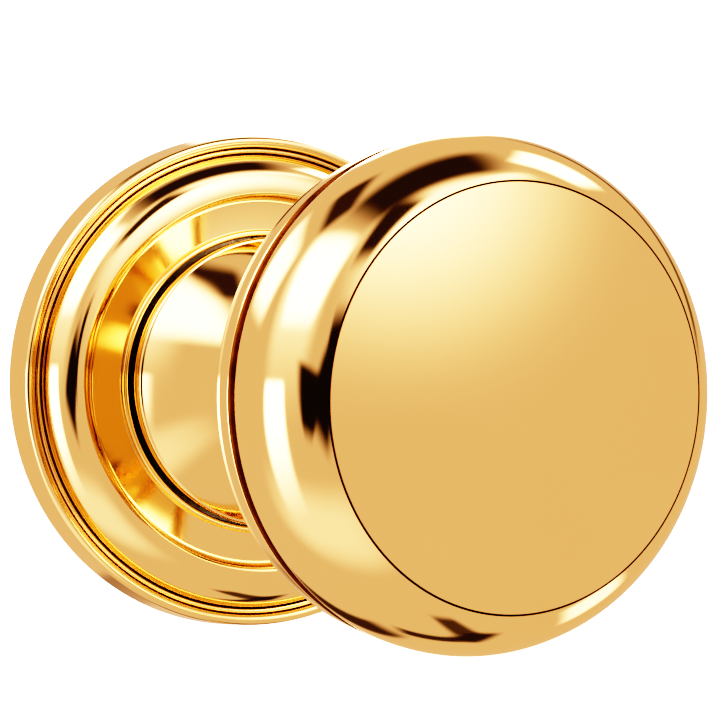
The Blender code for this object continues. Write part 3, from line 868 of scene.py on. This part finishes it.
camera_data = bpy.data.cameras.new("photo_camera")
camera_data.lens = 75.0
camera_data.sensor_width = 36.0
camera_data.clip_start, camera_data.clip_end = 0.01, 50.0
camera = bpy.data.objects.new("photo_camera", camera_data)
bpy.context.scene.collection.objects.link(camera)
camera.location = (-0.07816, -0.19104, 0.00569)
BACK = Vector((-0.4433, -0.8962, 0.01396)).normalized()
RIGHT = Vector((0.8963, -0.4434, 0.0)).normalized()
camera.rotation_euler = Matrix((RIGHT, BACK.cross(RIGHT), BACK)).transposed().to_euler()
bpy.context.scene.camera = camera


# ---------------------------------------------------------------- studio

STUDIO_WHITE = (1.009, 0.644, 0.459)
LIGHT_TARGET = Vector((0.0, -0.064, 0.0))


class CardMask(NodeMaterial):
    """The soft-edged shape of a light card, as a 0 to 1 mask made of math nodes."""

    def __init__(self, name):
        super().__init__(name)
        self.nodes.clear()
        coords = self.nodes.new("ShaderNodeTexCoord")
        split = self.nodes.new("ShaderNodeSeparateXYZ")
        self.links.new(coords.outputs["Object"], split.inputs[0])
        self.x, self.y = split.outputs["X"], split.outputs["Y"]

    def rise(self, value, start, end, power=1.0):
        """0 before start and 1 after end: a smooth step, or a power curve if power isn't 1."""
        share = self.math("DIVIDE", self.math("SUBTRACT", value, start), end - start, clamp=True)
        if power != 1.0:
            return self.math("POWER", share, power)
        ramp = self.nodes.new("ShaderNodeMapRange")
        ramp.interpolation_type = "SMOOTHSTEP"
        self.links.new(share, ramp.inputs["Value"])
        return ramp.outputs["Result"]

    def panel(self, half, side_soft, top_soft, low_soft, low_power, taper):
        """A rectangle, or a wedge if taper isn't 0, whose edges fade."""
        widen = self.math("ADD", self.math("MULTIPLY", self.y, taper / half[1]), 1.0)
        across = self.math("ABSOLUTE", self.math("DIVIDE", self.x, widen))
        sides = self.rise(across, half[0], half[0] * (1 - side_soft))
        top = self.rise(self.y, half[1], half[1] * (1 - 2 * top_soft))
        low = self.rise(self.y, -half[1], -half[1] * (1 - 2 * low_soft), low_power)
        return self.math("MULTIPLY", sides, self.math("MULTIPLY", top, low))

    def glow(self, half, power):
        """An oval that is brightest in its middle."""
        across, along = self.math("DIVIDE", self.x, half[0]), self.math("DIVIDE", self.y, half[1])
        square = self.math("ADD", self.math("MULTIPLY", across, across), self.math("MULTIPLY", along, along))
        return self.math("POWER", self.math("SUBTRACT", 1.0, self.math("SQRT", square), clamp=True), power)

    def shine(self, mask, colour):
        """Gives off colour where the mask is 1 and lets the light behind it through where it is 0."""
        clear = self.nodes.new("ShaderNodeBsdfTransparent")
        glow = self.nodes.new("ShaderNodeEmission")
        glow.inputs["Color"].default_value = (*colour, 1.0)
        mix = self.nodes.new("ShaderNodeMixShader")
        self.links.new(mask, mix.inputs["Fac"])
        self.links.new(clear.outputs[0], mix.inputs[1])
        self.links.new(glow.outputs[0], mix.inputs[2])
        output = self.nodes.new("ShaderNodeOutputMaterial")
        self.links.new(mix.outputs[0], output.inputs["Surface"])


def toward(azimuth, elevation):
    """Azimuth 0 is in front of the knob (-Y), 90 is on its right (+X)."""
    a, e = math.radians(azimuth), math.radians(elevation)
    return Vector((math.sin(a) * math.cos(e), -math.cos(a) * math.cos(e), math.sin(e)))


def add_card(name, azimuth, elevation, width, height, strength, roll=0.0, side=0.5, top=0.3, low=0.3,
             low_power=1.0, taper=0.0, glow=0.0, distance=1.0):
    """A light panel or dark flag seen in the metal; width and height are the angles it spans, in degrees.

    side, top and low are the shares of the card over which those edges fade; taper widens its top.
    A card with a glow shines from its middle and fades outwards with that power.
    """
    half = [distance * math.tan(math.radians(angle / 2)) for angle in (width, height)]
    reach = half[0] * (1.0 + abs(taper))
    bm = bmesh.new()
    corners = [(-reach, -half[1]), (reach, -half[1]), (reach, half[1]), (-reach, half[1])]
    bm.faces.new([bm.verts.new((x, y, 0.0)) for x, y in corners])
    mask = CardMask(name)
    shape = mask.glow(half, glow) if glow else mask.panel(half, side, top, low, low_power, taper)
    mask.shine(shape, [channel * strength for channel in STUDIO_WHITE])
    card = object_from(name, bm, [mask.material])
    direction = toward(azimuth, elevation)
    turn = direction.to_track_quat("Z", "Y") @ Matrix.Rotation(math.radians(roll), 4, "Z").to_quaternion()
    card.matrix_world = Matrix.Translation(LIGHT_TARGET + direction * distance) @ turn.to_matrix().to_4x4()
    card.visible_camera = False
    card.visible_diffuse = False
    card.visible_shadow = False


# Light panels on the left, in front and on the right.
add_card("key_panel", -77, 40, 46, 40, 12, taper=0.1, side=0.5, top=0.35, low=0.35, distance=0.35)
add_card("key_panel_fall", -80, 24, 58, 76, 4.2, side=0.6, top=0.3, low=0.7, low_power=2.2, distance=0.37)
add_card("side_panel", -91, -19, 29, 50, 12, side=0.5, top=0.1, low=0.7, low_power=2.0, distance=0.24)
add_card("neck_key", -133, 32, 36, 30, 9, side=0.6, top=0.4, low=0.4, distance=0.096)
add_card("front_glow", 10, 41, 98, 102, 10, glow=3.5, distance=1.04)
add_card("front_top_strip", 30, 55, 44, 10, 4.2, side=0.5, top=0.4, low=0.4, distance=0.98)
add_card("right_panel", 95, 49, 26, 24, 11, roll=-20)
add_card("right_back_strip", 152, 5, 22, 68, 11.5, roll=-8, side=0.35, top=0.15, low=0.15)
add_card("right_low", 90, -41, 24, 18, 4.4)
add_card("left_low_fill", -62, -46, 110, 40, 1.9, side=0.8, top=0.4, low=0.4)
# Dark flags, which give the metal its dark lines.
add_card("camera_flag", -57, -3, 24, 26, 0.05, taper=0.75, top=0.15, low=0.3, roll=-14, distance=0.095)
add_card("camera_flag_side", -36, 9, 12, 40, 0.05, side=0.5, distance=0.15)
add_card("rosette_flag", -35, -1, 27, 36, 0.05, side=0.5, roll=-35, distance=0.95)
add_card("top_wedge", -23, 53, 22, 40, 0.08, taper=0.3, side=0.6, roll=-25, distance=0.3)
add_card("ceiling", 8, 81, 60, 44, 0.08, distance=0.95)
add_card("left_back_dark", -134, 63, 32, 22, 0.1, distance=0.95)
add_card("right_streak", 116, 20, 60, 8, 0.2, roll=38, distance=0.95)
add_card("low_dark_front", 62, -75, 26, 11, 0.15, distance=0.95)
add_card("low_dark_middle", 104, -70, 20, 14, 0.08, distance=0.95)
add_card("low_dark_rear", 146, -72, 24, 10, 0.1, distance=0.95)
add_card("back_low_dark", 175, -44, 14, 50, 0.12, distance=0.95)


def add_white_floor():
    """A pale floor below the knob, which the metal doesn't mirror."""
    bm = bmesh.new()
    bmesh.ops.create_grid(bm, x_segments=1, y_segments=1, size=2.0)
    shader = Shader("pale_floor", roughness=0.9, metallic=0.0)
    shader.main.inputs["Base Color"].default_value = (0.75, 0.78, 0.8, 1)
    shader.main.inputs["Specular IOR Level"].default_value = 0.0
    shader.main.inputs["Emission Color"].default_value = (0.9, 0.97, 1.0, 1)
    shader.main.inputs["Emission Strength"].default_value = 2.6
    floor = object_from("floor", bm, [shader.material])
    floor.location.z = -0.16
    floor.visible_glossy = False
    floor.visible_diffuse = False


def add_backdrop():
    """A white tent all round, which only the camera sees."""
    bm = bmesh.new()
    bmesh.ops.create_icosphere(bm, subdivisions=4, radius=3.0)
    white = NodeMaterial("white_backdrop")
    white.nodes.clear()
    glow = white.nodes.new("ShaderNodeEmission")
    glow.inputs["Strength"].default_value = 5.0
    glow.inputs["Color"].default_value = (1.0, 1.0, 1.0, 1.0)
    output = white.nodes.new("ShaderNodeOutputMaterial")
    white.links.new(glow.outputs[0], output.inputs["Surface"])
    tent = object_from("backdrop", bm, [white.material])
    tent.visible_diffuse = tent.visible_glossy = tent.visible_shadow = tent.visible_transmission = False


add_white_floor()
add_backdrop()

overhead_data = bpy.data.lights.new("overhead", "AREA")
overhead_data.shape = "DISK"
overhead_data.size = 2.0
overhead_data.energy = 60.0
overhead = bpy.data.objects.new("overhead", overhead_data)
bpy.context.scene.collection.objects.link(overhead)
overhead.location = (0.0, 0.0, 1.6)
overhead.visible_glossy = False

world = bpy.data.worlds.new("studio")
bpy.context.scene.world = world
world.use_nodes = True
world.node_tree.nodes["Background"].inputs["Color"].default_value = (*STUDIO_WHITE, 1)
world.node_tree.nodes["Background"].inputs["Strength"].default_value = 1.0


def set_film_response():
    """An S-shaped film curve: x^2 / (x^2 + k^2), so highlights roll off to white and darks go deep."""
    view = bpy.context.scene.view_settings
    view.view_transform = "Standard"
    view.use_curve_mapping = True
    mapping = view.curve_mapping
    white, middle, top, black = 4.0, 0.5, 1.03, 0.006
    mapping.white_level = (white, white, white)
    curve = mapping.curves[3]  # the one for all three channels
    inputs = [0.0, 0.05, 0.1, 0.16, 0.22, 0.3, 0.4, 0.5, 0.65, 0.8, 1.0, 1.3, 1.7, 2.3, 3.0, 4.0]
    points = []
    for x in inputs:
        y = top * x * x / (x * x + middle * middle)
        points.append((x / white, min(1.0, max(0.0, (y - black) / (1 - black)))))
    while len(curve.points) < len(points):
        curve.points.new(0.5, 0.5)
    for point, (x, y) in zip(curve.points, points):
        point.location = (x, y)
        point.handle_type = "AUTO_CLAMPED"
    mapping.update()


set_film_response()
